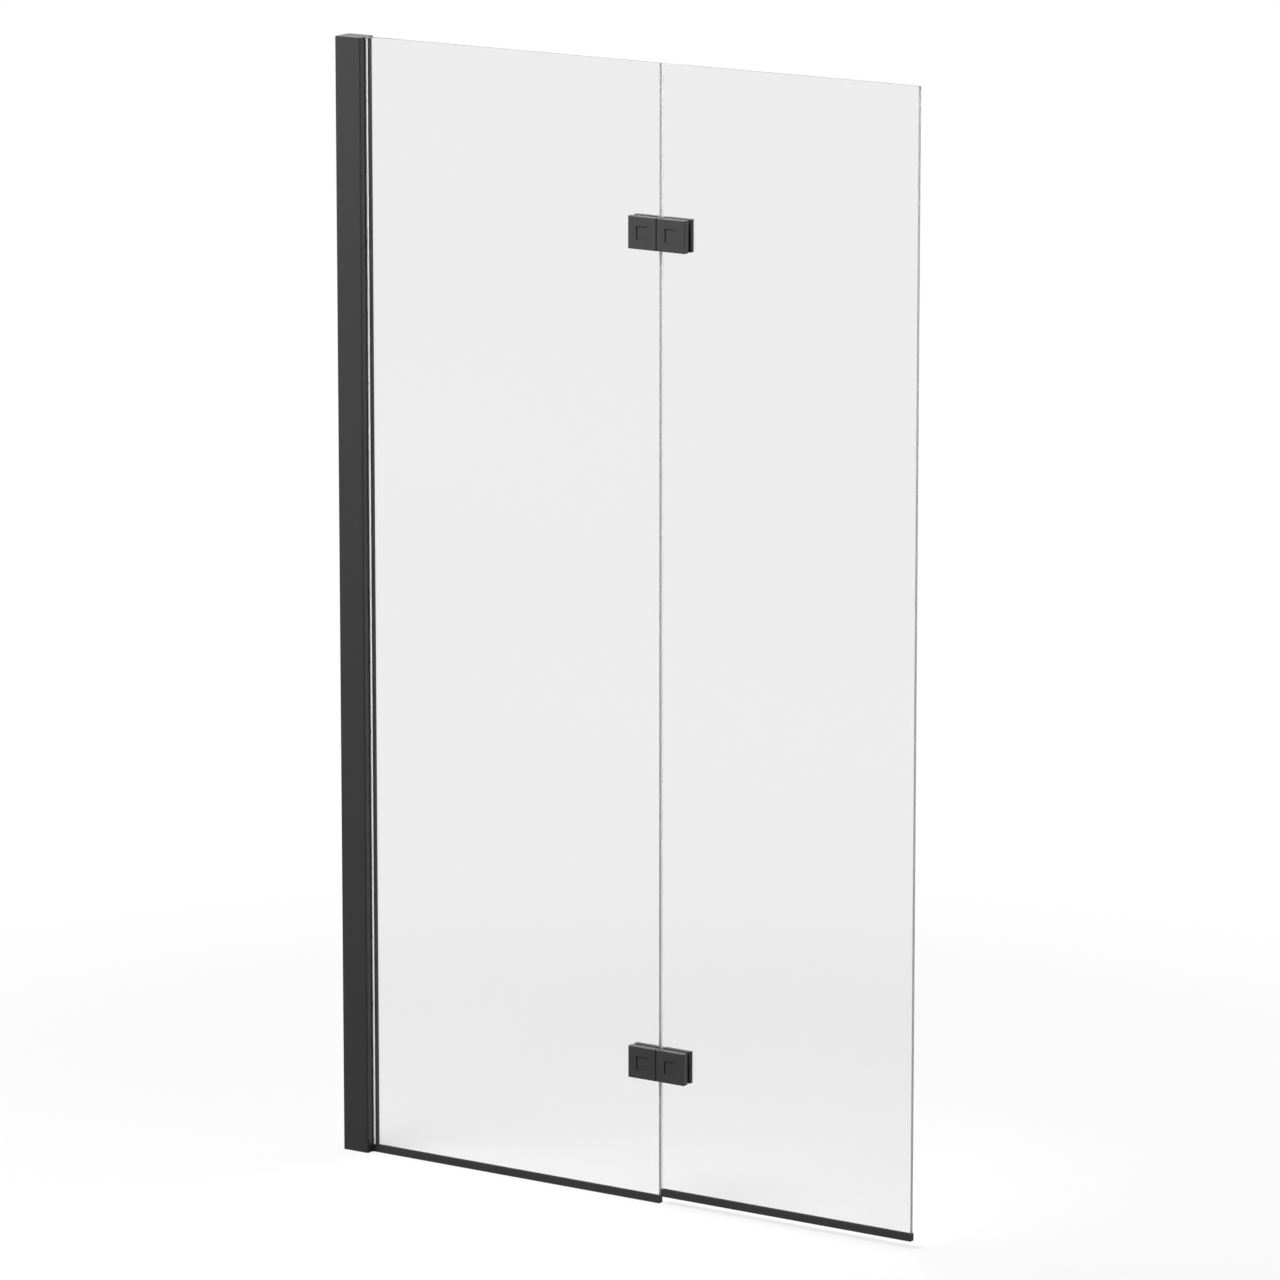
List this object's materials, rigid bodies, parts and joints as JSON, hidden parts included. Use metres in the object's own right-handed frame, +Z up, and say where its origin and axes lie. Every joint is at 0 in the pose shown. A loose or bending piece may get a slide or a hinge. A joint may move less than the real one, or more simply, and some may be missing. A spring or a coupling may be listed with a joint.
{
  "type": "folding bath screen",
  "caption": "Frameless glass bath screen: a fixed panel in a black wall profile and a folding panel hung from it on square black clamp hinges, with black bottom seals.",
  "frame": {"origin": "on the wall face of the wall channel, on the middle plane of the glass, at the level of the bath rim", "axes": "+X out from the wall along the screen, -Y the room side, +Y the bath side, +Z up"},
  "size_m": [0.85, 0.0337, 1.45],
  "materials": {
    "black_powder_coat": "matt black powder coat",
    "black_plastic": "fine satin moulding",
    "black_seal": "matt extruded",
    "milky_seal": "translucent extruded",
    "toughened_glass": "clear, polished edges",
    "mill_aluminium": "mill finish extrusion",
    "stainless_steel": "plain turned",
    "white_nylon": "natural nylon"
  },
  "bodies": {
    "wall_side": {"wall_channel": "mill_aluminium"},
    "fixed_side": {"frame_profile": "black_powder_coat", "profile_top_cap": "black_plastic", "adjusting_screws": "stainless_steel", "adjusting_nuts": "stainless_steel", "adjusting_screw_caps": "black_plastic", "glazing_gasket_front": "black_seal", "glazing_gasket_back": "milky_seal", "glass_setting_blocks": "white_nylon", "fixed_glass": "toughened_glass", "fixed_bottom_seal": "black_seal", "upper_hinge_fixed_leaf": "black_powder_coat", "upper_hinge_pin": "stainless_steel", "upper_hinge_fixed_front_plate": "black_powder_coat", "upper_hinge_fixed_cover_cap": "black_powder_coat", "upper_hinge_fixed_clamp_screw": "stainless_steel", "upper_hinge_fixed_glass_sleeve": "white_nylon", "upper_hinge_fixed_gasket_pads": "black_seal", "lower_hinge_fixed_leaf": "black_powder_coat", "lower_hinge_pin": "stainless_steel", "lower_hinge_fixed_front_plate": "black_powder_coat", "lower_hinge_fixed_cover_cap": "black_powder_coat", "lower_hinge_fixed_clamp_screw": "stainless_steel", "lower_hinge_fixed_glass_sleeve": "white_nylon", "lower_hinge_fixed_gasket_pads": "black_seal"},
    "folding_side": {"folding_glass": "toughened_glass", "folding_bottom_seal": "black_seal", "upper_hinge_moving_leaf": "black_powder_coat", "upper_hinge_bushes": "white_nylon", "upper_hinge_moving_front_plate": "black_powder_coat", "upper_hinge_moving_cover_cap": "black_powder_coat", "upper_hinge_moving_clamp_screw": "stainless_steel", "upper_hinge_moving_glass_sleeve": "white_nylon", "upper_hinge_moving_gasket_pads": "black_seal", "lower_hinge_moving_leaf": "black_powder_coat", "lower_hinge_bushes": "white_nylon", "lower_hinge_moving_front_plate": "black_powder_coat", "lower_hinge_moving_cover_cap": "black_powder_coat", "lower_hinge_moving_clamp_screw": "stainless_steel", "lower_hinge_moving_glass_sleeve": "white_nylon", "lower_hinge_moving_gasket_pads": "black_seal"}
  },
  "joints": [
    {"name": "width_adjust", "type": "slide", "parent": "wall_side", "child": "fixed_side", "axis": [1, 0, 0], "range_m": [0, 0.01]},
    {"name": "panel_fold", "type": "hinge", "parent": "fixed_side", "child": "folding_side", "pos_m": [0.48, 0.0116, 0], "axis": [0, 0, 1], "range_deg": [0, 180]}
  ]
}
